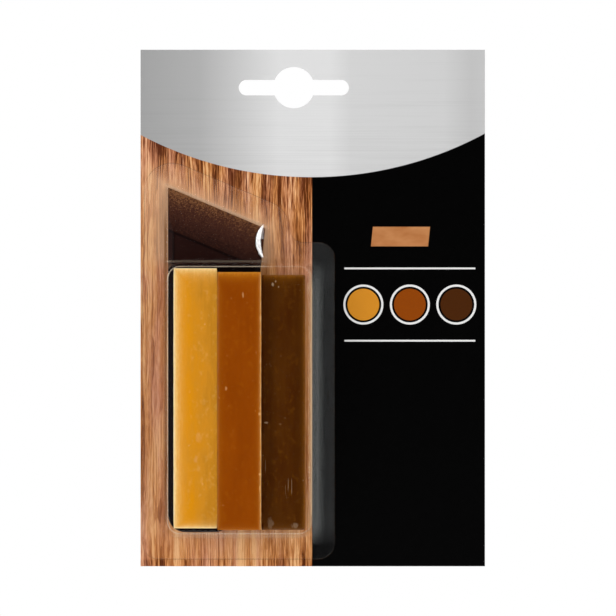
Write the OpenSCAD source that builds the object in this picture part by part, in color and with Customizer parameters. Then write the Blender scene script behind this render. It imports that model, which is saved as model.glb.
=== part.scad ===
// Carded blister pack of three furniture repair wax sticks and a scraper.
// As it hangs: X runs to the right, Z up, and the front of the card faces -Y.
// The origin is the middle of the hang hole, on the back face of the card.

/* [Backing card] */
// Width of the card
card_w = 100; // [95:1:140]
// Height of the card
card_h = 150; // [148:1:200]
// Thickness of the board
card_t = 0.6; // [0.3:0.1:1.5]
// Diameter of the round middle of the hang slot
hole_d = 12; // [8:0.5:14]
// Overall width of the hang slot
slot_w = 32; // [22:1:40]
// Height of the two wings of the hang slot
slot_h = 4.5; // [3:0.1:6]
// From the left edge of the card to the middle of the hang slot
hole_from_left = 44.5; // [35:0.5:50]
// From the top edge of the card to the middle of the hang slot
hole_from_top = 11; // [9:0.5:14]

/* [Wax sticks] */
// Width of a stick
stick_w = 12.5; // [11:0.1:14]
// Depth of a stick, front to back
stick_d = 9; // [6:0.5:14]
// Rounding of the edges of a stick
stick_edge_r = 0.8; // [0.3:0.1:2]
// Gap between two sticks that lie side by side
stick_gap = 0.3; // [0.2:0.1:1]
// Length of the light stick
light_length = 75.2; // [65:0.1:80]
// Length of the medium stick
medium_length = 74.6; // [65:0.1:80]
// Length of the dark stick
dark_length = 73.8; // [65:0.1:80]
// From the lower wall of the tub up to the light stick
light_rise = 1.3; // [0.4:0.1:3]
// From the lower wall of the tub up to the medium stick
medium_rise = 0.8; // [0.4:0.1:3]
// From the lower wall of the tub up to the dark stick
dark_rise = 0.8; // [0.4:0.1:3]
// From the left edge of the card to the light stick
row_from_left = 9.7; // [9:0.1:20]

/* [Scraper] */
// Width of the scraper across its skew edge
scraper_w = 28.2; // [23:0.1:28.7]
// Length of the scraper, from its square end to its high corner
scraper_length = 100; // [92:1:108]
// Thickness of the scraper
scraper_t = 2.4; // [1.8:0.1:4]
// Rounding of the corners at the square end
scraper_corner_r = 5; // [1:0.5:8]
// From the high corner of the skew edge down to its low corner
skew_drop = 11.9; // [6:0.1:14]
// Lean of the side below the low corner, in towards the square end, in degrees
scraper_taper = 6.5; // [3:0.5:8]
// Thickness left at the skew edge
blade_t = 0.5; // [0.3:0.1:1]
// Width of the bevel behind the skew edge
bevel_w = 11.4; // [5:0.1:16]
// Width of the bevel along each side
side_bevel_w = 1.6; // [0.5:0.1:4]
// How much the side bevels take off the thickness
side_bevel_t = 0.8; // [0.2:0.1:1.2]

/* [Blister] */
// Thickness of the clear film
film = 0.4; // [0.25:0.05:0.8]
// Draft of the walls of the tub, in degrees
tub_draft = 8; // [3:0.5:12]
// Rounding of the upright corners of the tub, at its roof
tub_corner_r = 3.5; // [2:0.1:6]
// Rounding where the walls of the tub meet its roof
tub_edge_r = 1; // [0.4:0.1:2]
// From the bottom edge of the card to the lower wall of the tub
floor_from_bottom = 10; // [8.5:0.1:14]
// Draft of the walls of the tip pocket, in degrees
pocket_draft = 20; // [10:1:30]
// Rounding of the upright corners of the tip pocket, at its roof
pocket_corner_r = 1.5; // [1:0.1:3]
// Rounding where the walls of the tip pocket meet its roof
pocket_edge_r = 0.6; // [0.2:0.1:1]
// Radius of the scallop at the low end of the tip pocket, at its roof
scallop_r = 7.2; // [5:0.1:9]
// How far the scallop reaches in over the low corner of the scraper
scallop_reach = 3; // [1:0.1:3.5]
// From the low corner of the scraper down to the middle of the scallop
scallop_drop = 3.7; // [2:0.1:6]
// Lean of the wall of the scallop, in degrees off the upright
scallop_lean = 60; // [45:1:65]
// Width of the seal flange at the sides and round the tip pocket
flange_w = 5.2; // [3:0.1:5.4]
// Width of the seal flange below the tub
flange_foot_w = 5.9; // [3:0.1:6.2]
// Width of the seal flange above the tub
flange_head_w = 4.5; // [3:0.1:8]
// Rounding of the outer corners of the seal flange
flange_corner_r = 5; // [2:0.1:8]
// Rounding of the inner corner of the seal flange
flange_inner_r = 4; // [1:0.1:8]

/* [Fits] */
// Gap between pieces that lie on one another
piece_gap = 0.3; // [0.2:0.05:0.5]
// Gap between the front of the upper sticks and the roof of the tub
roof_play = 0.4; // [0.3:0.1:2]
// Least gap between the light stick and the left wall of the tub
left_play = 1.3; // [0.5:0.1:2]
// Gap between the dark stick and the right wall of the tub
right_play = 1.3; // [0.5:0.1:3]
// Gap between the tallest stick and the upper wall of the tub
head_play = 1; // [0.5:0.1:4]
// Gap beside the scraper in the tub and in the tip pocket
scraper_play = 0.3; // [0.2:0.1:1]
// Gap between the skew edge of the scraper and its pocket
tip_play = 1; // [0.8:0.1:3]
// Gap between the scraper and the roof of the tip pocket
pocket_play = 0.4; // [0.3:0.1:1]

/* [Hidden] */
$fn = 64;
// Sides of a whole turn on the posts that the blister's forms are drawn over
post_steps = 40;
// Steps along a rounded roof edge
edge_steps = 5;
// How far cuts run past the faces that they open
overrun = 1;

// Where the card's edges lie from the hang hole
card_left = -hole_from_left;
card_bottom = hole_from_top - card_h;

// Where the row of sticks lies on the card
stick_pitch = stick_w + stick_gap;
light_left = card_left + row_from_left;
medium_left = light_left + stick_pitch;
dark_left = medium_left + stick_pitch;
dark_right = dark_left + stick_w;
tub_floor = card_bottom + floor_from_bottom;
light_foot = tub_floor + light_rise;
medium_foot = tub_floor + medium_rise;
dark_foot = tub_floor + dark_rise;
row_top = max(light_foot + light_length, medium_foot + medium_length, dark_foot + dark_length);
tub_top = row_top + head_play;

// Where the scraper lies, beside the dark stick and under the other two
scraper_foot = tub_floor;
scraper_tip = scraper_foot + scraper_length;
low_tip = scraper_tip - skew_drop;
low_tip_x = lean_x(low_tip);
foot_right = lean_x(scraper_foot);
scraper_left = low_tip_x - scraper_w;
skew_angle = atan2(skew_drop, scraper_w);
skew_length = norm([scraper_w, skew_drop]);
bevel_angle = atan2(scraper_t - blade_t, bevel_w);
side_bevel_angle = atan2(side_bevel_t, side_bevel_w);

// How high the pieces and the inside of the blister stand off the card
upper_lift = piece_gap + scraper_t + piece_gap;
tub_depth = upper_lift + stick_d + roof_play;
pocket_depth = piece_gap + scraper_t + pocket_play;

// Inside of the tub at its roof
tub_left = min(light_left - left_play, scraper_left - scraper_play);
tub_right = dark_right + right_play;
tub_corners = [
    for (x = [tub_left + tub_corner_r, tub_right - tub_corner_r])
        for (z = [tub_floor + tub_corner_r, tub_top - tub_corner_r]) [x, z],
];
// How far the outside of the tub spreads past its roof at the card
tub_spread = tub_depth * tan(tub_draft) + film / cos(tub_draft);

// Inside of the tip pocket at its roof; its lower side opens into the tub
pocket_left = scraper_left - scraper_play;
pocket_right = low_tip_x + scraper_play;
pocket_corners = [
    for (x = [pocket_left + pocket_corner_r, pocket_right - pocket_corner_r])
        for (z = [skew_z(x) + (tip_play - pocket_corner_r) / cos(skew_angle), tub_top - tub_corner_r]) [x, z],
];
pocket_spread = pocket_depth * tan(pocket_draft) + film / cos(pocket_draft);
scallop_x = pocket_right - scallop_reach + scallop_r;
scallop_z = low_tip - scallop_drop;

// Where the leaning side of the scraper runs at a height; it clears the dark stick in all its play
function lean_x(z) = dark_left - piece_gap + (z - tub_top) * tan(scraper_taper);

// Height of the scraper's skew edge at a place across the card
function skew_z(x) = scraper_tip - (x - scraper_left) * tan(skew_angle);

// Radius at a roof, on the outside of the film, of a corner with this radius inside
function outside_r(r, draft) = r + film / cos(draft) - film * tan(draft);

// Half section of a drafted post: a leaning wall up to a rounded edge and a flat roof.
// r is where the wall would reach the roof if the edge were sharp.
function post_section(r, depth, draft, edge_r) =
    let (
        wall_r = r + depth * tan(draft),
        bend = depth - edge_r,
        bend_r = wall_r - (bend + edge_r * sin(draft)) * tan(draft) - edge_r * cos(draft)
    )
    concat(
        [[0, -overrun], [wall_r + overrun * tan(draft), -overrun]],
        [
            for (i = [0 : edge_steps])
                let (a = draft + (90 - draft) * i / edge_steps)
                    [bend_r + edge_r * cos(a), bend + edge_r * sin(a)],
        ],
        [[0, depth]]
    );

// Lays a shape drawn in plan against the front of the card, this far off it
module on_card(lift) {
    translate([0, -card_t - lift, 0]) rotate([90, 0, 0]) children();
}

module rounded_rectangle(w, h, r) {
    translate([r, 0]) square([w - 2 * r, h]);
    translate([0, r]) square([w, h - 2 * r]);
    for (x = [r, w - r], y = [r, h - r]) translate([x, y]) circle(r);
}

// A bar with every edge rounded: three rounded outlines, each run through the bar
module rounded_bar(w, l, d, r) {
    intersection() {
        linear_extrude(d) rounded_rectangle(w, l, r);
        translate([0, l, 0]) rotate([90, 0, 0]) linear_extrude(l) rounded_rectangle(w, d, r);
        rotate([90, 0, 90]) linear_extrude(w) rounded_rectangle(l, d, r);
    }
}

module hang_slot() {
    wing = (slot_w - slot_h) / 2;
    circle(d = hole_d);
    translate([-wing, -slot_h / 2]) square([2 * wing, slot_h]);
    for (side = [-1, 1]) translate([side * wing, 0]) circle(d = slot_h);
}

// Drafted form over a row of corner posts, with its open side on the card
module drafted_form(corners, r, depth, draft, edge_r) {
    hull()
        for (c = corners)
            translate(c)
                rotate_extrude($fn = post_steps) polygon(post_section(r, depth, draft, edge_r));
}

// Cone that bites the scallop out of the low end of the tip pocket
module scallop(r, depth) {
    lean = tan(scallop_lean);
    translate([scallop_x, scallop_z, depth - r / lean])
        cylinder(h = r / lean + overrun, r1 = 0, r2 = r + overrun * lean);
}

// Outside of the blister's two hollows
module outer_forms() {
    drafted_form(
        tub_corners, outside_r(tub_corner_r, tub_draft), tub_depth + film, tub_draft, tub_edge_r + film
    );
    difference() {
        drafted_form(
            pocket_corners,
            outside_r(pocket_corner_r, pocket_draft),
            pocket_depth + film,
            pocket_draft,
            pocket_edge_r + film
        );
        scallop(outside_scallop_r(), pocket_depth + film);
    }
}

// Radius of the scallop on the outside of the film, at the outer roof of the pocket
function outside_scallop_r() = scallop_r + film * tan(scallop_lean) - film / cos(scallop_lean);

// The two hollows themselves
module inner_forms() {
    drafted_form(tub_corners, tub_corner_r, tub_depth, tub_draft, tub_edge_r);
    difference() {
        drafted_form(pocket_corners, pocket_corner_r, pocket_depth, pocket_draft, pocket_edge_r);
        scallop(scallop_r, pocket_depth);
    }
}

// Outline of the seal flange: one field round the tub and one round the tip pocket
module flange_outline() {
    left = tub_left - tub_spread - flange_w;
    right = tub_right + tub_spread + flange_w;
    foot = tub_floor - tub_spread - flange_foot_w;
    head = tub_top + tub_spread + flange_head_w;
    offset(r = -flange_inner_r)
        offset(r = flange_inner_r) {
            translate([left, foot]) rounded_rectangle(right - left, head - foot, flange_corner_r);
            hull()
                for (c = pocket_corners)
                    translate(c) circle(pocket_corner_r + pocket_spread + flange_w);
        }
}

// Printed board with a hang slot punched through it
module backing_card() {
    color("#B98552")
        on_card(-card_t)
            linear_extrude(card_t)
                difference() {
                    translate([card_left, card_bottom]) square([card_w, card_h]);
                    hang_slot();
                }
}

// Clear film drawn into a deep tub and a shallow tip pocket, with a flat flange to seal
module blister() {
    color("#DCE6EA", 0.35)
        on_card(0)
            difference() {
                union() {
                    linear_extrude(film) flange_outline();
                    intersection() {
                        outer_forms();
                        linear_extrude(tub_depth + film) flange_outline();
                    }
                }
                inner_forms();
            }
}

module light_wax_stick() {
    color("#D49B3C")
        on_card(upper_lift)
            translate([light_left, light_foot]) rounded_bar(stick_w, light_length, stick_d, stick_edge_r);
}

module medium_wax_stick() {
    color("#8C4006")
        on_card(upper_lift)
            translate([medium_left, medium_foot]) rounded_bar(stick_w, medium_length, stick_d, stick_edge_r);
}

module dark_wax_stick() {
    color("#46240A")
        on_card(piece_gap)
            translate([dark_left, dark_foot]) rounded_bar(stick_w, dark_length, stick_d, stick_edge_r);
}

// Outline of the scraper: a square end with round corners, a skew edge and one leaning side
module scraper_outline() {
    r = scraper_corner_r;
    left_x = scraper_left + r;
    right_x = foot_right - r * (1 - sin(scraper_taper)) / cos(scraper_taper);
    polygon([
        [left_x, scraper_foot],
        [right_x, scraper_foot],
        [right_x + r * cos(scraper_taper), scraper_foot + r - r * sin(scraper_taper)],
        [low_tip_x, low_tip],
        [scraper_left, scraper_tip],
        [scraper_left, scraper_foot + r],
    ]);
    for (x = [left_x, right_x]) translate([x, scraper_foot + r]) circle(r);
}

// What the bevel takes off a side that runs up from here
module side_bevel() {
    translate([0, -overrun, scraper_t - side_bevel_t])
        rotate([0, -side_bevel_angle, 0])
            translate([-overrun, 0, 0])
                cube([side_bevel_w + 2 * overrun, scraper_length + 2 * overrun, scraper_t]);
}

// Moulded scraper: a flat strip with a bevelled skew edge and bevelled sides
module scraper() {
    color("#3A2018")
        on_card(piece_gap)
            difference() {
                linear_extrude(scraper_t) scraper_outline();
                translate([scraper_left, scraper_tip, blade_t])
                    rotate([0, 0, -skew_angle])
                        rotate([-bevel_angle, 0, 0])
                            translate([-bevel_w, -bevel_w - overrun, 0])
                                cube([skew_length + 2 * bevel_w, bevel_w + 2 * overrun, scraper_t]);
                translate([scraper_left, scraper_foot]) side_bevel();
                translate([foot_right, scraper_foot])
                    rotate(-scraper_taper)
                        mirror([1, 0, 0]) side_bevel();
            }
}

backing_card();
blister();
light_wax_stick();
medium_wax_stick();
dark_wax_stick();
scraper();
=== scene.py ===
"""Looks of a hanging card pack: three wax repair sticks and a scraper under one clear blister."""

import bmesh
import bpy
import numpy as np
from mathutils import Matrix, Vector


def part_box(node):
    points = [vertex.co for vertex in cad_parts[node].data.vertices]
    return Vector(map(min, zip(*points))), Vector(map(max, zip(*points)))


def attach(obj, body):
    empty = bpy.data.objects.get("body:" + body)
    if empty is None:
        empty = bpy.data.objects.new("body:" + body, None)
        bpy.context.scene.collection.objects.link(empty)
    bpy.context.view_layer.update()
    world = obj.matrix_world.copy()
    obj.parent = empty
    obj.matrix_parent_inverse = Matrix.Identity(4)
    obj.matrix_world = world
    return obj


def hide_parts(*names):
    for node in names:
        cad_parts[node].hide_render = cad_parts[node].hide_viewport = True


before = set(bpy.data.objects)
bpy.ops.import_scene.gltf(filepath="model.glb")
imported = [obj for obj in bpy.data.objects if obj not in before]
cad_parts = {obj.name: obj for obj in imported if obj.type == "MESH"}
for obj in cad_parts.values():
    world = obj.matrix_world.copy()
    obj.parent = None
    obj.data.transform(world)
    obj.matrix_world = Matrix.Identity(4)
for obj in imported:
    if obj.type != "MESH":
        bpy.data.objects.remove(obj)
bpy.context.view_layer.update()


# Backing card: one sheet of white-lined board, printed and varnished on its front and cut with a hang slot.
# A silver header ends in an arc over a wood panel and a black panel; the back is bare grey board.
# The blister is heat sealed to its front.
mm = 0.001
card_low, card_high = (np.array(corner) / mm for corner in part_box("backing_card"))
card_front = card_low[1]
header_middle = (5.1, 80.4)
header_radius = 106.4
panel_split = 5.3
tag_left, tag_right = 22.4, 39.0
tag_foot, tag_head = -46.1, -40.4
tag_slant = 0.1
silver_stops = [
    (0.0, 0.36), (0.17, 0.43), (0.24, 0.52), (0.40, 0.73), (0.55, 0.735), (0.61, 0.65), (0.88, 0.62),
    (0.96, 0.535), (1.0, 0.55),
]
wood_stops = [
    (0.02, (0.10, 0.022, 0.005)),
    (0.26, (0.295, 0.090, 0.021)),
    (0.50, (0.49, 0.180, 0.051)),
    (0.72, (0.68, 0.297, 0.104)),
    (0.95, (0.86, 0.49, 0.225)),
]
rosy_stops = [
    (0.02, (0.11, 0.0245, 0.0105)),
    (0.26, (0.285, 0.093, 0.042)),
    (0.50, (0.47, 0.180, 0.084)),
    (0.72, (0.655, 0.29, 0.158)),
    (0.95, (0.835, 0.475, 0.278)),
]
shade_tone = (0.26, 0.082, 0.008)
shade_left = -37.25
glow_tone = (0.74, 0.45, 0.27)
black_ink = (0.0006, 0.0006, 0.0006)
white_ink = (0.82, 0.82, 0.81)
swatch_tones = [(0.66, 0.26, 0.02), (0.27, 0.055, 0.002), (0.065, 0.018, 0.003)]
swatch_xs = (20.2, 33.7, 47.2)
swatch_z = -63.0
swatch_round = 4.6
ring_gap, ring_thick = 0.9, 0.3
rule_zs = (-52.5, -73.5)
rule_half = 19.0
rule_thick = 0.25
ink_blur = 0.1
panel_blur = 0.12
copper_stops = [(0.3, (0.42, 0.15, 0.045)), (0.7, (0.55, 0.24, 0.09))]
pulp_stops = [(0.35, (0.62, 0.60, 0.555)), (0.65, (0.76, 0.745, 0.705))]
scraper_low, scraper_high = (np.array(corner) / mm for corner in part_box("scraper"))
skew_fall = 11.9 / 28.2
skew_square = np.cos(np.arctan(skew_fall))
fibre_tone = (0.42, 0.39, 0.34)
seal_left, seal_right = -44.1, 11.9
seal_foot, seal_head = -137.0, -44.9
lobe_width = 7.75
tub_left, tub_right = -37.2, 5.0
tub_foot, tub_head = -129.4, -51.2


class Wire:
    """An output of a shader node. Arithmetic on it adds Math nodes to the same tree."""

    def __init__(self, tree, socket):
        self.tree = tree
        self.socket = socket

    def node(self, kind, settings=None, sockets=None, out=0):
        """Adds a node: its type, the settings that are made first, then socket values or links."""
        made = self.tree.nodes.new(kind)
        for name, value in (settings or {}).items():
            if name == "stops":
                set_stops(made.color_ramp, value)
            else:
                setattr(made, name, value)
        for name, value in (sockets or {}).items():
            socket = next(s for s in made.inputs if name in (s.identifier, s.name))
            if isinstance(value, Wire):
                self.tree.links.new(value.socket, socket)
            else:
                socket.default_value = value
        outlets = [s for k, s in enumerate(made.outputs) if out in (k, s.identifier)]
        return Wire(self.tree, outlets[0]) if outlets else None

    def finish(self):
        """Ends the material in this shader."""
        self.node("ShaderNodeOutputMaterial", None, {"Surface": self})

    def math(self, operation, *others):
        terms = dict(zip(("Value", "Value_001", "Value_002"), (self, *others)))
        return self.node("ShaderNodeMath", {"operation": operation}, terms)

    def __add__(self, other):
        return self.math("ADD", other)

    def __sub__(self, other):
        return self.math("SUBTRACT", other)

    def __rsub__(self, other):
        return (self * -1.0) + other

    def __mul__(self, other):
        return self.math("MULTIPLY", other)

    def __truediv__(self, other):
        return self.math("DIVIDE", other)

    def __pow__(self, other):
        return self.math("POWER", other)

    __radd__ = __add__
    __rmul__ = __mul__

    def at_most(self, other):
        return self.math("MINIMUM", other)

    def at_least(self, other):
        return self.math("MAXIMUM", other)

    def clamped(self):
        return self.at_least(0.0).at_most(1.0)

    def past(self, edge, blur):
        """0 below the edge and 1 above it, over a blurred width."""
        return ((self - edge) / blur + 0.5).clamped()

    def pick(self, low, high):
        """The colour low where this wire is 0 and high where it is 1."""
        terms = {"Factor_Float": self, "A_Color": colour(low), "B_Color": colour(high)}
        return self.node("ShaderNodeMix", {"data_type": "RGBA"}, terms, out="Result_Color")

    def tinted(self, stops):
        return self.node("ShaderNodeValToRGB", {"stops": stops}, {"Fac": self})

    def split(self):
        """The three parts of a place."""
        return [self.node("ShaderNodeSeparateXYZ", None, {"Vector": self}, out=k) for k in range(3)]

    def noise(self, size, detail=2.0, roughness=0.5, shift=(0.0, 0.0, 0.0)):
        """Cloudy values round 0.5 whose spots are about this size in millimetres along x, y and z."""
        scale = tuple(1.0 / s for s in size)
        place = self.node("ShaderNodeMapping", None, {"Vector": self, "Scale": scale, "Location": shift})
        terms = {"Vector": place, "Scale": 1.0, "Detail": detail, "Roughness": roughness}
        return self.node("ShaderNodeTexNoise", None, terms)

    def bump(self, height, strength=1.0):
        """A normal from this wire as a relief of this height in millimetres."""
        terms = {"Height": self, "Distance": height * mm, "Strength": strength}
        return self.node("ShaderNodeBump", None, terms)


def colour(value):
    return value if isinstance(value, Wire) else (*value, 1.0)


def set_stops(ramp, stops):
    """Puts (position, colour or grey) stops on a colour ramp."""
    while len(ramp.elements) < len(stops):
        ramp.elements.new(1.0)
    for element, (position, tone) in zip(ramp.elements, stops):
        element.position = position
        element.color = colour(tone if isinstance(tone, tuple) else (tone, tone, tone))


def new_finish(name):
    """An empty node material. Returns it and its Object coordinates in millimetres."""
    finish = bpy.data.materials.new(name)
    finish.use_nodes = True
    tree = finish.node_tree
    tree.nodes.clear()
    place = Wire(tree, None).node("ShaderNodeTexCoord", out="Object")
    terms = {"Vector": place, "Scale": 1.0 / mm}
    return finish, place.node("ShaderNodeVectorMath", {"operation": "SCALE"}, terms)


def dress(node_name, finish):
    """Puts a material on every slot of a CAD node."""
    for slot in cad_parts[node_name].material_slots:
        slot.material = finish


card_finish, place = new_finish("printed_board")
x, y, z = place.split()
across = (x - card_low[0]) / (card_high[0] - card_low[0])

# Silver header with level brush lines
brush_lines = place.noise((60.0, 20.0, 0.5), detail=3.0, roughness=0.6)
brush_bands = place.noise((25.0, 20.0, 1.6))
brushed = brush_lines * 0.24 + brush_bands * 0.08 + 0.85 + z * 0.002
brushed = brushed.tinted([(0.0, 0.0), (1.0, 1.0)])
silver = across.tinted(silver_stops)
silver = silver.node(
    "ShaderNodeMix",
    {"data_type": "RGBA", "blend_type": "MULTIPLY"},
    {"Factor_Float": 1.0, "A_Color": silver, "B_Color": brushed},
    out="Result_Color",
)

# Wood panel: swaying grain, with painted light: paler round the blister's forms, glowing by the pocket, and
# darker where the film leaves it bare, the film's haze being painted into the wood under it
grain_sway = (place.noise((13.0, 20.0, 46.0)) - 0.5) * 2.6
grain = place.node("ShaderNodeCombineXYZ", None, {"X": x + grain_sway, "Y": y, "Z": z})
plank_bands = grain.noise((4.4, 20.0, 42.0), detail=2.0, roughness=0.6, shift=(2.0, 0.0, 0.0))
ring_strength = grain.noise((1.6, 20.0, 34.0), detail=2.0, shift=(17.0, 0.0, 5.0)).past(0.48, 0.24)
year_rings = ((x + grain_sway) / 1.5 + plank_bands * 5.0).math("FRACT").past(0.68, 0.5)
long_lines = grain.noise((0.5, 20.0, 44.0), detail=2.0, shift=(31.0, 0.0, 7.0)).past(0.60, 0.10)
late_wood = (year_rings * ring_strength).at_least(long_lines * 0.9)
fine_streaks = grain.noise((0.34, 20.0, 18.0), detail=3.0, roughness=0.7)
short_streaks = grain.noise((0.27, 20.0, 3.5), detail=2.0, shift=(11.0, 0.0, 1.0))
open_pores = grain.noise((0.24, 20.0, 6.0), detail=1.0, shift=(5.0, 0.0, 3.0)).past(0.65, 0.06)
rosy = grain.noise((6.0, 20.0, 30.0), detail=2.0, shift=(3.0, 0.0, 9.0)).past(0.55, 0.2)
past_skew = (z - scraper_high[2] + (x - scraper_low[0]) * skew_fall) * skew_square
past_pocket = past_skew.at_least(x - scraper_high[0]).at_least((scraper_low[0] - x) * 0.4)
past_tub = (x - tub_right).at_least((tub_left - x) * 0.2).at_least(tub_foot - z).at_least(z - tub_head)
# Painted light: the wood is paler and softer round the pocket and the tub, lifting the shade that the
# sticks and film cast there
painted_blister_light = (past_pocket.at_most(past_tub).at_least(0.0) / -4.0).math("EXPONENT")
# Painted glow on the wood along the pocket's edges, above the tub's step
pocket_glow = (past_pocket.math("ABSOLUTE") / -2.0).math("EXPONENT") * (z - tub_head).past(0.0, 4.0)
under_header = z.past(-35.0, 40.0)
# Painted film haze: outside the film the wood is darker and stronger, so the lift that the film's haze
# gives is painted into the wood it covers
past_film = (past_skew - lobe_width).at_least(seal_foot - z).past(0.0, 0.8)
wood_depth = (plank_bands - 0.5) * 2.1 + (fine_streaks - 0.5) * 1.5 + (short_streaks - 0.5) * 1.3
wood_depth = wood_depth - late_wood * 0.58 - open_pores * 0.25
wood_contrast = 1.0 - painted_blister_light * 0.5 + past_film * 0.3
wood_tone = wood_depth * wood_contrast + 0.69 + painted_blister_light * 0.11 - under_header * 0.21 - past_film * 0.07
wood = rosy.pick(wood_tone.tinted(wood_stops), wood_tone.tinted(rosy_stops))
wood = (pocket_glow * 0.85).pick(wood, glow_tone)
# Painted shadow of the tub's left film wall: a brown band down the wood beside it
shade_ends = (z - tub_foot).past(3.0, 2.0) * (scraper_high[2] - z).past(9.0, 7.0)
shaded = (0.38 - (x - shade_left).math("ABSOLUTE")).past(0.0, 0.3) * shade_ends
wood = (shaded * 0.75).pick(wood, shade_tone)

# Black panel: a bare copper tag, and three plain discs in the wax tones with white rings between two rules
tag_x = x - (z - tag_foot) * tag_slant
tag = (
    tag_x.past(tag_left, ink_blur)
    * (tag_right - tag_x).past(0.0, ink_blur)
    * z.past(tag_foot, ink_blur)
    * (tag_head - z).past(0.0, ink_blur)
)
rule_ends = (rule_half - (x - swatch_xs[1]).math("ABSOLUTE")).past(0.0, ink_blur)
to_rule = (z - rule_zs[0]).math("ABSOLUTE").at_most((z - rule_zs[1]).math("ABSOLUTE"))
white_print = (rule_thick - to_rule).past(0.0, ink_blur) * rule_ends
swatch_print = black_ink
for swatch_x, swatch_tone in zip(swatch_xs, swatch_tones):
    from_swatch = ((x - swatch_x) ** 2.0 + (z - swatch_z) ** 2.0) ** 0.5
    swatch_print = (swatch_round - from_swatch).past(0.0, ink_blur).pick(swatch_print, swatch_tone)
    to_ring = (from_swatch - swatch_round - ring_gap).math("ABSOLUTE")
    white_print = white_print.at_least((ring_thick - to_ring).past(0.0, ink_blur))
swatch_print = white_print.pick(swatch_print, white_ink)
copper_sheen = place.noise((6.0, 20.0, 3.0)).tinted(copper_stops)
black_panel = tag.pick(swatch_print, copper_sheen)

from_arc = ((x - header_middle[0]) ** 2.0 + (z - header_middle[1]) ** 2.0) ** 0.5
in_header = (header_radius - from_arc).past(0.0, panel_blur)
print_colour = in_header.pick(x.past(panel_split, panel_blur).pick(wood, black_panel), silver)

# Bare back and cut edges of the board
board_fibres = place.noise((0.5, 0.5, 0.5), detail=4.0, roughness=0.7)
board_cloud = place.noise((14.0, 14.0, 18.0), detail=3.0)
level_fibres = place.noise((2.6, 2.0, 0.35), detail=1.0).past(0.66, 0.05)
upright_fibres = place.noise((0.35, 2.0, 2.6), detail=1.0, shift=(9.0, 0.0, 4.0)).past(0.66, 0.05)
specks = place.noise((0.8, 0.8, 0.8), detail=1.0, shift=(4.0, 0.0, 2.0)).past(0.74, 0.04)
pulp = (board_fibres * 0.6 + board_cloud * 0.4).tinted(pulp_stops)
flecks = (level_fibres.at_least(upright_fibres) * 0.35).at_least(specks * 0.5)
past_seal = (x - seal_right).at_least(seal_left - x).at_least(z - seal_head).at_least(seal_foot - z)
seal_line = (0.5 - (past_seal + 1.5).math("ABSOLUTE")).past(0.0, 0.8) * (0.08 + board_cloud * 0.16)
board_colour = flecks.at_least(seal_line).pick(pulp, fibre_tone)
on_front = (card_front + 0.05 - y).past(0.0, 0.02)
varnish_ripple = place.noise((1.2, 1.2, 1.2), detail=2.0)
board_shader = place.node(
    "ShaderNodeBsdfPrincipled",
    None,
    {
        "Base Color": on_front.pick(board_colour, print_colour),
        "Roughness": 0.92 - on_front * (0.70 - varnish_ripple * 0.06),
        "Specular IOR Level": 0.1,
        "Normal": board_fibres.bump(0.01, 0.3),
    },
)
board_shader.finish()
dress("backing_card", card_finish)


# Scraper: one flat strip of dark brown plastic, injection moulded, with a bevelled skew edge to shave wax.
# It lies loose on the card under the light and medium sticks, and its tip shows in the blister's pocket.
bevel_width = 11.1
side_width = 1.6
corner_shade = (0.004, 0.0006, 0.0004)
flat_tones = [(0.30, (0.010, 0.0022, 0.0012)), (0.70, (0.021, 0.0052, 0.0036))]
lit_bevel_tones = [
    (0.0, (0.20, 0.083, 0.032)),
    (0.10, (0.135, 0.053, 0.021)),
    (0.20, (0.070, 0.0225, 0.0118)),
    (0.44, (0.058, 0.0185, 0.0100)),
    (0.64, (0.040, 0.0125, 0.0072)),
    (1.0, (0.020, 0.0055, 0.0032)),
]

scraper_finish, place = new_finish("scraper_plastic")
x, y, z = place.split()
mould_grain = place.noise((0.42, 0.42, 0.42), detail=2.0, roughness=0.8)
mould_flow = place.noise((9.0, 4.0, 22.0), detail=2.0)
below_skew = (scraper_high[2] - (x - scraper_low[0]) * skew_fall - z) * skew_square
past_side = x - scraper_low[0] - side_width
on_bevel = (bevel_width - below_skew).past(0.0, 0.25)
# Painted light: the bevel is painted lighter than the flat face, most of all near the skew edge, over its
# mould grain
bevel_light_and_grain = below_skew / 12.0 + (x - scraper_low[0]) * 0.005
bevel_light_and_grain = bevel_light_and_grain + (mould_grain - 0.5) * 2.0 + (mould_flow - 0.5) * 0.3
flat_grain = mould_grain * 0.7 + mould_flow * 0.3 + (past_side * -1.0).past(0.0, 0.2) * 0.1
off_back = (scraper_high[1] - 0.15 - y).past(0.0, 0.1)
plain = (on_bevel * off_back).pick(flat_grain.tinted(flat_tones), bevel_light_and_grain.tinted(lit_bevel_tones))
# Painted shade: dark lines along the foot of the bevel and beside the narrow side strip
to_side_line = past_side.math("ABSOLUTE").at_least(on_bevel)
to_line = (below_skew - bevel_width - 0.3).math("ABSOLUTE").at_most(to_side_line)
painted_crease_shade = (0.35 - to_line).past(0.0, 0.2) * 0.8 * off_back
# Painted shade on the scraper's front where it lies under the tub's step and the sticks
painted_gap_shade = (tub_head - z).past(0.5, 1.0) * (scraper_low[1] + 1.2 - y).past(0.0, 0.4)
scraper_shader = place.node(
    "ShaderNodeBsdfPrincipled",
    None,
    {
        "Base Color": painted_crease_shade.at_least(painted_gap_shade).pick(plain, corner_shade),
        "Roughness": 0.46 + mould_grain * 0.1,
        "Specular IOR Level": 0.06,
        "Normal": mould_grain.bump(0.03, 0.5),
    },
)
scraper_shader.finish()
dress("scraper", scraper_finish)


# Wax sticks: three square bars of hard wax, cast in light, medium and dark brown and trimmed to length.
# Their edges are a little rounded and uneven, bits of wax cling to them, and painted highlights run along
# their edges.
# They lie side by side, loose in the deep tub of the blister.
wax_edge = 0.14
wax_spread = {
    "light_wax_stick": (0.0, 0.18),
    "medium_wax_stick": (0.18, 0.15),
    "dark_wax_stick": (0.15, 0.1),
}
wax_sides = [(1, 1), (-1, 1), (-1, -1), (1, -1)]
arc_steps = 8
flat_steps = 14


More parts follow.
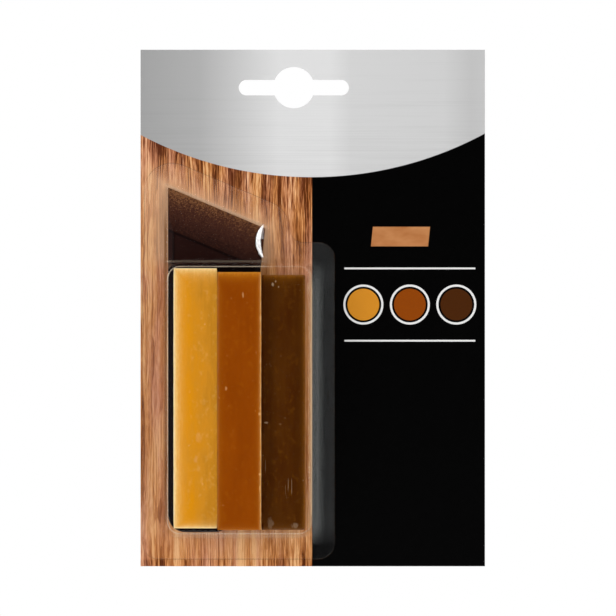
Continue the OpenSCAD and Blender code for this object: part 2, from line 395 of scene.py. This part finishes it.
def bar_ring():
    """Once round a bar: each point's share of the core rectangle, and the way it faces outwards.

    Quarter turns at the four corners of the core are joined by straight runs along its sides."""
    turn = np.linspace(0.0, 0.5 * np.pi, arc_steps)
    run = np.linspace(0.0, 1.0, flat_steps + 2)[1:-1]
    core = []
    facing = []
    for k, corner in enumerate(wax_sides):
        after = wax_sides[(k + 1) % 4]
        angle = 0.5 * np.pi * k + turn
        core.append(np.repeat([corner], arc_steps, axis=0))
        facing.append(np.stack([np.cos(angle), np.sin(angle)], axis=1))
        core.append(np.outer(1.0 - run, corner) + np.outer(run, after))
        facing.append(np.repeat([[np.cos(angle[-1]), np.sin(angle[-1])]], flat_steps, axis=0))
    return np.concatenate(core), np.concatenate(facing)


def ripple(seed, a, b, size):
    """A smooth uneven value from 0 to 1: eight sine waves of about this length, in seeded directions."""
    rng = np.random.default_rng(seed)
    total = np.zeros(np.broadcast(a, b).shape)
    for turn, start, pitch in zip(rng.uniform(0, np.pi, 8), rng.uniform(0, 7, 8), rng.uniform(0.6, 1.5, 8)):
        total += np.sin((a * np.cos(turn) + b * np.sin(turn)) * 2.0 * np.pi / (size * pitch) + start)
    return np.clip(0.5 + total / 8.0, 0.0, 1.0)


def wax_bar(name, seed):
    """A bar in a stick's CAD box, let out sideways to its neighbours: a rounded rectangle carried along z.

    Near each end the rounding shrinks along a quarter circle, and the flat end closes in on its middle.
    All of it is worn inwards by an uneven depth, which grows towards the ends."""
    low, high = (np.array(corner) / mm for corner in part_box(name))
    left_spread, right_spread = wax_spread[name]
    low[0] -= left_spread
    high[0] += right_spread
    length = high[2] - low[2]
    middle = 0.5 * (low + high)
    half = 0.5 * (high - low) - wax_edge
    core, facing = bar_ring()
    close = np.array([0.0, 0.35, 0.7, 0.92])
    bend = wax_edge * (1.0 - np.cos(np.linspace(0.0, 0.5 * np.pi, 9)))
    shaft = np.linspace(wax_edge, length - wax_edge, 150)[1:-1]
    rise = np.concatenate([0.0 * close, bend, shaft, length - bend[::-1], length - 0.0 * close])
    to_end = np.minimum(rise, length - rise)
    spread = np.sqrt(np.clip(wax_edge**2 - np.clip(wax_edge - to_end, 0.0, None) ** 2, 0.0, None))
    share = np.ones(rise.size)
    share[: close.size] = close
    share[-close.size:] = close[::-1]
    around = np.cumsum(np.full(core.shape[0], 2.0 * half.sum() / core.shape[0]))
    worn = 0.05 * ripple(seed, around[None, :], rise[:, None], 9.0)
    worn = worn + 0.05 * ripple(seed + 1, around[None, :], rise[:, None], 2.2)
    worn = worn + 0.12 * np.exp(-to_end)[:, None]
    reach = spread[:, None] - worn * (share[:, None] == 1.0)
    points = np.empty((rise.size, core.shape[0], 3))
    points[..., 0] = middle[0] + share[:, None] * core[:, 0] * half[0] + facing[:, 0] * reach
    points[..., 1] = middle[1] + share[:, None] * core[:, 1] * half[1] + facing[:, 1] * reach
    points[..., 2] = low[2] + rise[:, None] + 0.0 * reach
    return points * mm


def lay_mesh(name, points, ring=False):
    """A smooth mesh over a grid of points, with a sharp rim.

    A ring of points closes on itself instead, and its two ends on their middles."""
    count_v, count_u = points.shape[:2]
    index = np.arange(count_v * count_u).reshape(count_v, count_u)
    if ring:
        index = np.concatenate([index, index[:, :1]], axis=1)
    corners = [index[:-1, :-1], index[:-1, 1:], index[1:, 1:], index[1:, :-1]]
    quads = np.stack(corners, axis=-1).reshape(-1, 4)
    mesh = bpy.data.meshes.new(name)
    mesh.from_pydata(points.reshape(-1, 3).tolist(), [], quads.tolist())
    if ring:
        shaped = bmesh.new()
        shaped.from_mesh(mesh)
        bmesh.ops.remove_doubles(shaped, verts=shaped.verts, dist=1e-7)
        shaped.to_mesh(mesh)
        shaped.free()
    mesh.polygons.foreach_set("use_smooth", np.ones(len(mesh.polygons), dtype=bool))
    if not ring:
        ends = np.empty(2 * len(mesh.edges), dtype=np.int32)
        mesh.edges.foreach_get("vertices", ends)
        row, column = np.divmod(ends.reshape(-1, 2), count_u)
        rims = [row == 0, row == count_v - 1, column == 0, column == count_u - 1]
        mesh.edges.foreach_set("use_edge_sharp", np.any([rim.all(axis=1) for rim in rims], axis=0))
    piece = bpy.data.objects.new(name, mesh)
    bpy.context.scene.collection.objects.link(piece)
    return piece


def wax_finish(name, box, tones, lean, scuffed, edge_lights, marks, seed):
    """Hard wax: a clouded colour that leans from one tone to another across the bar, on to a darker copy of
    the face tone painted as shade on one side, scuffed and flecked.

    Each edge light is a painted highlight along one edge: its amount and width, which fade with the
    distance from that edge, and the strength of a thin, broken painted rim highlight at the edge itself.
    Each mark is a crumb, smear or scratch on the front face: its x and z, half its width and length, and
    how plain it is."""
    deep, face, pale, crumb = tones
    low, high = (np.array(corner) / mm for corner in box)
    finish, place = new_finish(name)
    x, y, z = place.split()
    clouds = place.noise((5.0, 5.0, 14.0), detail=3.0, roughness=0.6, shift=(seed, 0.0, seed))
    drags = place.noise((0.5, 0.5, 9.0), detail=2.0, shift=(0.0, seed, 0.0))
    chips = place.noise((0.4, 0.4, 1.1), detail=2.0, shift=(seed, 0.0, 0.0))
    smears = place.noise((1.3, 1.3, 1.8), detail=2.0, shift=(0.0, 0.0, seed)).past(0.64, 0.12)
    scratches = place.noise((0.16, 0.5, 3.4), detail=1.0, shift=(seed, seed, seed)).past(0.76, 0.04)
    crumbs_and_rim_light = place.noise((0.5, 0.5, 0.9), detail=1.0, shift=(seed, seed, 0.0)).past(0.79, 0.05) * 0.45
    on_face = (low[1] + 0.8 - y).past(0.0, 0.6)
    for mark_x, mark_z, half_width, half_length, plain in marks:
        reach = (((x - mark_x) / half_width) ** 2.0 + ((z - mark_z) / half_length) ** 2.0) ** 0.5
        crumbs_and_rim_light = crumbs_and_rim_light.at_least((1.0 + (chips - 0.5) * 2.0 - reach).past(0.0, 0.6) * on_face * plain)
    insets = {"left": x - low[0], "right": high[0] - x, "foot": z - low[2], "head": high[2] - z}
    insets = {side: inset.at_least(y - low[1]) for side, inset in insets.items()}
    # Painted highlights along the edges, together with the real smears and scratches
    scuffs_and_edge_light = (smears * 0.16).at_least(scratches * 0.22) * scuffed
    for side, (amount, width, rim) in edge_lights.items():
        uneven = insets[side] + (drags - 0.5) * width * 1.2 + (chips - 0.5) * width * 1.2
        scuffs_and_edge_light = scuffs_and_edge_light.at_least((uneven.at_least(0.0) / -width).math("EXPONENT") * amount)
        # A thin, broken painted rim highlight right at each edge, in the crumb tone
        rim_highlight = insets[side] / -0.22 + (chips - 0.5) * 4.0
        crumbs_and_rim_light = crumbs_and_rim_light.at_least(rim_highlight.math("EXPONENT").at_most(1.0) * rim)
    across = (x - low[0]) / (high[0] - low[0])
    # Painted shade: a darker copy of the face tone on one side of the bar
    shaded_side = tuple(0.86 * part for part in face)
    body = clouds * 0.9 + drags * 0.3 + (across - 0.45) * lean
    body = body.tinted([(0.42, deep), (0.80, face), (1.0, shaded_side)])
    lit_and_scuffed = scuffs_and_edge_light.clamped().pick(body, pale)
    shader = place.node(
        "ShaderNodeBsdfPrincipled",
        None,
        {
            "Base Color": crumbs_and_rim_light.pick(lit_and_scuffed, crumb),
            "Roughness": 0.14 + clouds * 0.10,
            "Specular IOR Level": 0.07,
            "Subsurface Weight": 0.1,
            "Subsurface Radius": (1.0, 0.45, 0.15),
            "Subsurface Scale": 1.2 * mm,
            "Normal": (drags * 0.4 + clouds).bump(0.05, 0.4),
        },
    )
    shader.finish()
    return finish


# Each stick's deep, face, pale and crumb tones; the pale tone also paints the edge highlights, the crumb
# tone the rim highlights
wax_tones = {
    "light_wax_stick": (
        (0.745, 0.283, 0.0005), (0.655, 0.268, 0.016), (1.0, 0.70, 0.27), (1.0, 0.86, 0.62),
    ),
    "medium_wax_stick": (
        (0.255, 0.047, 0.0001), (0.300, 0.060, 0.0002), (0.60, 0.21, 0.012), (0.80, 0.45, 0.17),
    ),
    "dark_wax_stick": (
        (0.058, 0.0135, 0.0008), (0.083, 0.0235, 0.0016), (0.28, 0.095, 0.006), (0.50, 0.36, 0.22),
    ),
}
wax_leans = {"light_wax_stick": 0.9, "medium_wax_stick": 0.0, "dark_wax_stick": -0.1}
wax_scuffs = {"light_wax_stick": 0.6, "medium_wax_stick": 0.5, "dark_wax_stick": 0.9}
# Painted edge highlights of each stick: amount, width and rim highlight for each lit edge
wax_edge_lights = {
    "light_wax_stick": {"left": (1.15, 1.15, 0.9), "head": (0.95, 1.3, 0.6), "foot": (0.9, 0.8, 0.6)},
    "medium_wax_stick": {
        "left": (0.35, 0.7, 0.1), "right": (0.75, 0.5, 0.75),
        "head": (1.0, 1.2, 0.1), "foot": (0.4, 0.6, 0.1),
    },
    "dark_wax_stick": {"right": (0.8, 0.6, 0.1), "head": (0.8, 1.0, 0.1), "foot": (0.4, 0.8, 0.2)},
}
wax_marks = {
    "light_wax_stick": [(-27.4, -101.5, 0.9, 1.3, 0.05), (-28.3, -107.8, 0.5, 1.0, 0.07)],
    "medium_wax_stick": [
        (-14.7, -60.3, 0.3, 0.7, 0.45), (-19.5, -87.3, 0.3, 0.6, 0.45), (-9.6, -112.0, 0.5, 0.35, 0.9),
        (-9.8, -94.6, 0.35, 0.5, 0.7), (-9.7, -116.0, 0.3, 0.8, 0.8),
    ],
    "dark_wax_stick": [
        (-6.1, -57.2, 0.35, 0.5, 0.75), (-5.3, -56.3, 0.2, 0.3, 0.7), (-4.4, -57.9, 0.15, 0.2, 0.7),
        (-7.9, -97.2, 0.5, 0.25, 0.5), (-6.7, -126.2, 0.7, 1.4, 0.22), (0.2, -127.0, 0.8, 0.7, 0.26),
        (-1.6, -114.9, 0.07, 2.2, 0.35), (-0.6, -115.7, 0.07, 2.5, 0.4), (-2.4, -116.6, 0.06, 1.2, 0.25),
        (-3.9, -97.6, 0.4, 0.12, 0.3), (-8.2, -109.9, 0.1, 1.6, 0.2),
    ],
}
for seed, (node_name, tones) in enumerate(wax_tones.items()):
    wax_name = node_name.replace("_stick", "")
    stick = lay_mesh(wax_name + "_bar", wax_bar(node_name, 10 * seed), ring=True)
    finish = wax_finish(
        wax_name,
        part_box(node_name),
        tones,
        wax_leans[node_name],
        wax_scuffs[node_name],
        wax_edge_lights[node_name],
        wax_marks[node_name],
        3.7 * seed,
    )
    stick.data.materials.append(finish)
    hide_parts(node_name)
    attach(stick, node_name.replace("_wax", ""))


# Blister: one sheet of clear film, heated and drawn over a mould into a deep tub and a shallow tip pocket.
# Its walls lean for release, its edges are rounded, and a flat flange all round is sealed to the card.
film = 0.36
flange_top = 0.4
blister_low, blister_high = (np.array(corner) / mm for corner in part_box("blister"))
flange_left, flange_right = blister_low[0], blister_high[0]
flange_foot = blister_low[2]
flange_head = -44.85
flange_corner = 5.0
lobe_reach = 8.25
inner_corner = 4.0
tub_corners = np.array([(-33.29, -125.5), (1.1, -125.5), (1.1, -55.0), (-33.29, -55.0)])
tub_form = {"roof": 12.8, "lean": np.radians(8.0), "roof_r": 1.4, "foot_r": 0.7}
tub_round = 3.85
high_corner = np.array((-35.29, -30.05))
low_corner = np.array((-9.49, -40.94))
pocket_corners = np.array([(-35.29, -55.0), (-9.49, -55.0), low_corner, high_corner])
pocket_form = {"roof": 3.5, "lean": np.radians(20.0), "roof_r": 1.0, "foot_r": 0.5}
pocket_round = 1.78
slope = (high_corner[1] - low_corner[1]) / (low_corner[0] - high_corner[0])
slope_angle = np.arctan(slope)
bend_left, bend_right = -36.45, 5.2
bend_foot, bend_head = -129.25, -52.0
bend_middle = (0.5 * (bend_left + bend_right), 0.5 * (bend_foot + bend_head))
bend_half = (0.5 * (bend_right - bend_left), 0.5 * (bend_head - bend_foot))
bend_round = 3.6
dimple_middle = (-4.29, -44.75)
dimple_rim = 6.74
dimple_ball = 12.7
# Tints of the film's haze, of its painted highlights and of the painted line at its cut edge
clear_haze = (0.88, 0.92, 0.91)
bend_highlight_tint = (1.0, 0.80, 0.58)
right_highlight_tint = (1.0, 0.71, 0.45)
cut_edge_line_tint = (0.07, 0.035, 0.02)


def outline_distance(x, z, corners, r):
    """How far a point lies outside an outline: its distance to the nearest side of a convex row of corners,
    below zero inside it, less the outline's radius r."""
    nearest = np.full(x.shape, np.inf)
    inside = np.full(x.shape, np.inf)
    for start, end in zip(corners, np.roll(corners, -1, axis=0)):
        run = end - start
        length = np.hypot(*run)
        along = np.clip(((x - start[0]) * run[0] + (z - start[1]) * run[1]) / length**2, 0.0, 1.0)
        gap_x = x - start[0] - along * run[0]
        gap_z = z - start[1] - along * run[1]
        nearest = np.minimum(nearest, np.hypot(gap_x, gap_z))
        inside = np.minimum(inside, (run[0] * (z - start[1]) - run[1] * (x - start[0])) / length)
    return np.where(inside > 0.0, -nearest, nearest) - r


def drawn_height(past, base, roof, lean, roof_r, foot_r):
    """Height of the film at this distance past a roof's outline.

    A flat roof bends over an arc into a wall that leans off the upright, and over a second arc into
    its base."""
    s, c = np.sin(lean), np.cos(lean)
    roof_bend = -roof_r * (1.0 - s) / c
    foot_bend = (foot_r + (roof - base - foot_r) * s) / c
    upper = roof - roof_r + np.sqrt(np.clip(roof_r**2 - (past - roof_bend) ** 2, 0.0, None))
    lower = base + foot_r - np.sqrt(np.clip(foot_r**2 - (foot_bend - past) ** 2, 0.0, None))
    wall = roof - past * c / s
    ends = [roof_bend, roof_bend + roof_r * c, foot_bend - foot_r * c, foot_bend]
    heights = [roof + 0.0 * past, upper, wall, lower]
    return np.select([past <= end for end in ends], heights, base + 0.0 * past)


def blister_height(x, z):
    """Height of the film's outside over the card: the pocket, a ball-shaped thumb dimple sunk in its low
    end, then the tub that rises out of both."""
    pocket = drawn_height(outline_distance(x, z, pocket_corners, pocket_round), flange_top, **pocket_form)
    from_middle = np.minimum(np.hypot(x - dimple_middle[0], z - dimple_middle[1]), dimple_rim)
    sunk = np.sqrt(dimple_ball**2 - from_middle**2) - np.sqrt(dimple_ball**2 - dimple_rim**2)
    pocket = np.minimum(pocket, np.maximum(pocket_form["roof"] - sunk, flange_top))
    return drawn_height(outline_distance(x, z, tub_corners, tub_round), pocket, **tub_form)


def upper_edge(x):
    """Upper edge of the flange at x: an arc round the high corner, the slope, an arc round the low corner,
    an inner fillet, the level head and an outer corner."""
    inner_x = low_corner[0] + lobe_reach + inner_corner
    sides = np.sin(slope_angle) * lobe_reach
    over_high = high_corner[1] + np.sqrt(np.clip(lobe_reach**2 - (x - high_corner[0]) ** 2, 0.0, None))
    over_slope = high_corner[1] - (x - high_corner[0]) * slope + lobe_reach / np.cos(slope_angle)
    over_low = low_corner[1] + np.sqrt(np.clip(lobe_reach**2 - (x - low_corner[0]) ** 2, 0.0, None))
    fillet_fall = np.sqrt(np.clip(inner_corner**2 - (x - inner_x) ** 2, 0.0, None))
    in_fillet = flange_head + inner_corner - fillet_fall
    in_corner = flange_head - flange_corner + corner_rise(flange_right - x)
    zones = [
        x < high_corner[0] + sides,
        x < low_corner[0] + sides,
        x < inner_x - inner_corner,
        x < inner_x,
        x < flange_right - flange_corner,
    ]
    return np.select(zones, [over_high, over_slope, over_low, in_fillet, flange_head + 0.0 * x], in_corner)


def corner_rise(inset):
    """Height of a rounded outer corner above its start, this far in from the side."""
    from_centre = np.clip(flange_corner - inset, 0.0, flange_corner)
    return np.sqrt(flange_corner**2 - from_centre**2)


def zone(start, stop, count):
    return np.linspace(start, stop, count, endpoint=False)


def blister_grid():
    """Places of the film's grid on the card: columns crowd at the upright walls and rows at the others.

    Between the step of the tub and the upper edge the rows turn to follow the pocket's slanted wall."""
    columns = np.concatenate([
        zone(flange_left, -39.3, 9),
        zone(-39.3, -35.2, 34),
        zone(-35.2, -11.8, 22),
        zone(-11.8, -5.2, 52),
        zone(-5.2, 2.9, 20),
        zone(2.9, 7.2, 36),
        np.linspace(7.2, flange_right, 11),
    ])
    lobe_left = high_corner[0] - lobe_reach
    pulled_in = (lobe_left - flange_left) * np.clip((-40.0 - columns) / (-40.0 - flange_left), 0.0, 1.0)
    upper_columns = columns + pulled_in
    top = upper_edge(upper_columns)
    inset = np.minimum(columns - flange_left, flange_right - columns)
    foot = flange_foot + flange_corner - corner_rise(inset)
    step = -48.6
    at_slope = np.clip(upper_columns, high_corner[0], low_corner[0])
    slope_line = high_corner[1] - (at_slope - high_corner[0]) * slope
    full = upper_edge(at_slope) - step
    wall_start = (slope_line + (pocket_round - 1.3) / np.cos(slope_angle) - step) / full
    wall_end = (slope_line + (pocket_round + 1.9) / np.cos(slope_angle) - step) / full
    wall_low = step + wall_start * (top - step)
    wall_high = step + wall_end * (top - step)
    levels = [foot, -131.9, -127.2, -53.4, step, wall_low, wall_high, top]
    counts = (8, 36, 14, 36, 44, 24, 9)
    rows = []
    for low, high, count in zip(levels[:-1], levels[1:], counts):
        share = np.linspace(0.0, 1.0, count, endpoint=high is top)[:, None]
        rows.append(low + (high - low) * share + 0.0 * columns)
    z = np.concatenate(rows)
    lift = np.clip((z + 53.0) / 6.0, 0.0, 1.0)
    x = columns + pulled_in * lift * lift * (3.0 - 2.0 * lift)
    return x, z


film_x, film_z = blister_grid()
slack = 0.03 * ripple(5, film_x, film_z, 14.0)
film_y = card_front - blister_height(film_x, film_z) + slack
blister = lay_mesh("blister_film", np.stack([film_x, film_y, film_z], axis=-1) * mm)
to_side = np.minimum(film_x - film_x[:, :1], film_x[:, -1:] - film_x)
to_end = np.minimum(film_z - film_z[:1], film_z[-1:] - film_z)
to_rim = blister.data.attributes.new("to_rim", "FLOAT", "POINT")
to_rim.data.foreach_set("value", np.minimum(to_side, to_end).ravel())
wall = blister.modifiers.new("film_thickness", "SOLIDIFY")
wall.thickness = film * mm
wall.offset = -1.0

# Besides the film's own light haze, its diffuse part carries painted light: highlight lines along its
# bends, a glow by the tub's right wall and a line at its cut edge
film_finish, place = new_finish("clear_film")
x, y, z = place.split()
turned_away = place.node("ShaderNodeLayerWeight", None, {"Blend": 0.5}, out="Facing")
pull_marks = place.noise((2.0, 2.0, 9.0), detail=2.0)
seal = (y - (card_front - 0.55)).past(0.0, 0.08)
from_middle = ((x - dimple_middle[0]) ** 2.0 + (z - dimple_middle[1]) ** 2.0) ** 0.5
polished = (dimple_rim + 0.3 - from_middle).past(0.0, 0.3) * (-8.8 - x).past(0.0, 0.4)
near_seal = (y - (card_front - 1.4)).past(0.0, 0.8)
gloss = (0.009 + polished * 0.146) * (1.0 - near_seal * 0.9)
gloss = gloss + turned_away ** 5.0 * 0.3 * (1.0 - near_seal * 0.5)
above_foot = (z - bend_foot).past(-0.5, 6.5)
above_head = (z - bend_head).past(-0.5, 3.0)
# Painted glow of the tub's right wall on the film over the black panel, stronger where the film turns away
right_wall_glow = ((9.0 - x) / 4.0).clamped() * x.past(5.3, 0.5) * near_seal.at_least(turned_away ** 5.0 * 2.0)
right_wall_glow = right_wall_glow * above_foot * (bend_head - z).past(2.0, 8.0)
past_side = (x - bend_middle[0]).math("ABSOLUTE") - bend_half[0] + bend_round
past_end = (z - bend_middle[1]).math("ABSOLUTE") - bend_half[1] + bend_round
past_corner = (past_side.at_least(0.0) ** 2.0 + past_end.at_least(0.0) ** 2.0) ** 0.5
past_bend = past_corner + past_side.at_least(past_end).at_most(0.0) - bend_round
past_skew = (z - scraper_high[2] + (x - scraper_low[0]) * skew_fall) * skew_square
over_scraper = (x - scraper_low[0]).past(-0.6, 1.0) * (scraper_high[0] - x).past(-0.3, 0.6)
tub_bend = (0.14 - past_bend.math("ABSOLUTE")).past(0.0, 0.22) * (card_front - 6.0 - y).past(0.0, 2.0)
over_print = (z - bend_head).past(-1.5, 2.0) * (1.0 - over_scraper)
tub_bend = tub_bend * (0.6 + pull_marks * 0.8) * (1.0 - over_print * 0.6)
right_bend = (((x - bend_right) / 0.5) ** 2.0 * -1.0).math("EXPONENT")
right_bend = right_bend * (bend_head + 1.0 - z).past(0.0, 2.0)
right_bend = right_bend * (z - bend_foot).past(0.0, 2.0) * (card_front - 10.5 - y).past(0.0, 2.0)
step_foot = (0.3 - (z - bend_head - 1.5).math("ABSOLUTE")).past(0.0, 0.3) * over_scraper
skew_bend = (0.3 - (past_skew - 0.55).math("ABSOLUTE")).past(0.0, 0.4)
skew_bend = skew_bend * over_scraper * (z - bend_head).past(1.5, 0.4)
from_corner = ((x - bend_left - 0.4) ** 2.0 + (z - bend_head + 2.8) ** 2.0) ** 0.5
sparkle = (from_corner * -0.8).math("EXPONENT") * 2.0 + 1.0
foot_wall = (((z - bend_foot + 0.9) / 0.9) ** 2.0 * -1.0).math("EXPONENT") * (1.0 - near_seal)
foot_wall = foot_wall * (x - bend_left).past(1.5, 2.0) * (bend_right - x).past(0.5, 1.0)
# Painted highlights: pale lines along the tub's bends and foot, the pocket's slanted edge and the step,
# brightest at the tub's top-left corner and down its right shoulder
painted_highlights = tub_bend * sparkle * 0.17 + skew_bend * 0.06 + step_foot * 0.07
painted_highlights = painted_highlights + right_bend * 0.38 + foot_wall * 0.1
from_rim = place.node("ShaderNodeAttribute", {"attribute_name": "to_rim"}, out="Fac")
# A faint painted line at the film's cut edge stands for its edge highlight
cut_edge = (0.25 - from_rim).past(0.0, 0.15)
seal_milk = above_foot * (0.014 - above_head * 0.006) + 0.002
haze_and_painted_light = 0.0003 + seal * seal_milk + turned_away ** 2.0 * 0.004 + right_wall_glow * 0.085 + painted_highlights
haze_and_painted_light = haze_and_painted_light.at_least(cut_edge * 0.12)
film_normal = pull_marks.bump(0.02, 0.5)
see_through = place.node("ShaderNodeBsdfTransparent", None, {"Color": (0.995, 0.997, 0.998, 1.0)})
haze_and_highlight_tint = (painted_highlights * 20.0).clamped().pick(clear_haze, bend_highlight_tint)
haze_and_highlight_tint = (right_bend * 6.0).clamped().pick(haze_and_highlight_tint, right_highlight_tint)
haze_and_highlight_tint = cut_edge.pick(haze_and_highlight_tint, cut_edge_line_tint)
haze = place.node(
    "ShaderNodeBsdfPrincipled", None, {"Base Color": haze_and_highlight_tint, "Roughness": 1.0, "Specular IOR Level": 0.0}
)
mirror = place.node("ShaderNodeBsdfAnisotropic", None, {"Roughness": 0.04, "Normal": film_normal})
body = place.node("ShaderNodeMixShader", None, {"Fac": haze_and_painted_light, "Shader": see_through, "Shader_001": haze})
place.node("ShaderNodeMixShader", None, {"Fac": gloss, "Shader": body, "Shader_001": mirror}).finish()
blister.data.materials.append(film_finish)
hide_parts("blister")
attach(blister, "blister")


# Studio: the pack hangs in front of a white sweep, with a pale floor well below it.
# Long soft strips at the right, the left and above light its edges, a panel lights its back,
# and the room gives an even fill.
scene = bpy.context.scene
scene.view_settings.view_transform = "Standard"
aim = np.array((4.12, card_front, -64.0)) * mm
frame_width = 178.9 * mm
distance = 2.5
lens = bpy.data.cameras.new("front_camera")
lens.sensor_width = 36.0
lens.lens = lens.sensor_width * distance / frame_width
camera = bpy.data.objects.new("front_camera", lens)
camera.location = aim - np.array((0.0, distance, 0.0))
camera.rotation_euler = (np.pi / 2.0, 0.0, 0.0)
scene.collection.objects.link(camera)
scene.camera = camera


def strip_light(name, direction, length, width, watts, upright):
    """A strip softbox one metre from the pack in this direction, facing it."""
    lamp = bpy.data.lights.new(name, "AREA")
    lamp.shape = "RECTANGLE"
    lamp.size = width if upright else length
    lamp.size_y = length if upright else width
    lamp.energy = watts
    strip = bpy.data.objects.new(name, lamp)
    away = Vector(direction).normalized()
    strip.location = Vector(aim) + away
    strip.rotation_euler = away.to_track_quat("Z", "Y").to_euler()
    scene.collection.objects.link(strip)


strip_light("right_strip", (0.83, -0.56, 0.0), length=1.6, width=0.28, watts=5.9, upright=True)
strip_light("left_strip", (-0.83, -0.56, 0.0), length=1.6, width=0.28, watts=5.9, upright=True)
strip_light("top_strip", (0.0, -0.35, 0.94), length=1.4, width=0.05, watts=1.2, upright=False)
strip_light("back_panel", (0.2, 0.87, 0.45), length=1.0, width=0.6, watts=5.0, upright=False)

floor_drop = 0.85
floor_half = 6.0
floor_grey = (0.88, 0.88, 0.88, 1.0)
floor_glow = 0.5
floor_points = np.array([[(-1, -1), (1, -1)], [(-1, 1), (1, 1)]], dtype=float) * floor_half
floor_points = np.concatenate([floor_points, np.full((2, 2, 1), -floor_drop)], axis=-1)
floor = lay_mesh("studio_floor", floor_points)
floor_finish, place = new_finish("pale_floor")
seen = place.node("ShaderNodeLightPath", out="Is Camera Ray")
seen = seen.at_least(place.node("ShaderNodeLightPath", out="Is Glossy Ray"))
seen = seen.at_least(place.node("ShaderNodeLightPath", out="Is Transmission Ray"))
glow = place.node("ShaderNodeEmission", None, {"Strength": seen * floor_glow})
matt = place.node("ShaderNodeBsdfDiffuse", None, {"Color": floor_grey})
place.node("ShaderNodeAddShader", None, {"Shader": matt, "Shader_001": glow}).finish()
floor.data.materials.append(floor_finish)

fill = 0.46
world = bpy.data.worlds.new("white_sweep")
world.use_nodes = True
world.node_tree.nodes.clear()
look = Wire(world.node_tree, None).node("ShaderNodeTexCoord", out="Generated")
behind = look.node("ShaderNodeSeparateXYZ", None, {"Vector": look}, out="Y").past(0.0, 0.2)
to_camera = look.node("ShaderNodeLightPath", out="Is Camera Ray")
to_gloss = look.node("ShaderNodeLightPath", out="Is Glossy Ray")
to_clear = look.node("ShaderNodeLightPath", out="Is Transmission Ray")
white = to_camera.at_least(to_clear).at_least(to_gloss * behind)
level = white.at_least((1.0 - to_gloss) * fill)
sky = look.node("ShaderNodeBackground", None, {"Color": (1.0, 1.0, 1.0, 1.0), "Strength": level})
sky.node("ShaderNodeOutputWorld", None, {"Surface": sky})
world.cycles.sampling_method = "NONE"
scene.world = world
